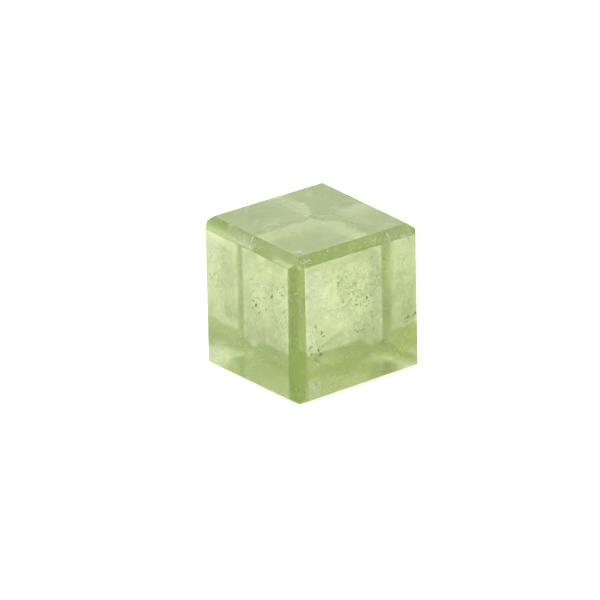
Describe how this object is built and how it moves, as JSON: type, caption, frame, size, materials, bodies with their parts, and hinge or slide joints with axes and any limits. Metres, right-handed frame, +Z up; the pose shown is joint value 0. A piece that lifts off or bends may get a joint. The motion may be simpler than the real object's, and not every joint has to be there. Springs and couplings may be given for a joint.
{
  "type": "polished peridot cube",
  "caption": "Translucent yellow-green peridot ground and polished into a small cube with flat chamfers on every edge.",
  "frame": {"origin": "middle of the cube's footprint, on the surface it rests on", "axes": "+Z up, square to the top face; -X out of the left face and -Y out of the front face, the two side faces that the reference view shows"},
  "size_m": [0.02, 0.0198, 0.0199],
  "materials": {
    "peridot": "polished translucent yellow-green stone with healed fractures, dark grains and fine specks inside"
  },
  "bodies": {
    "root": {"peridot_cube": "peridot"}
  },
  "joints": []
}
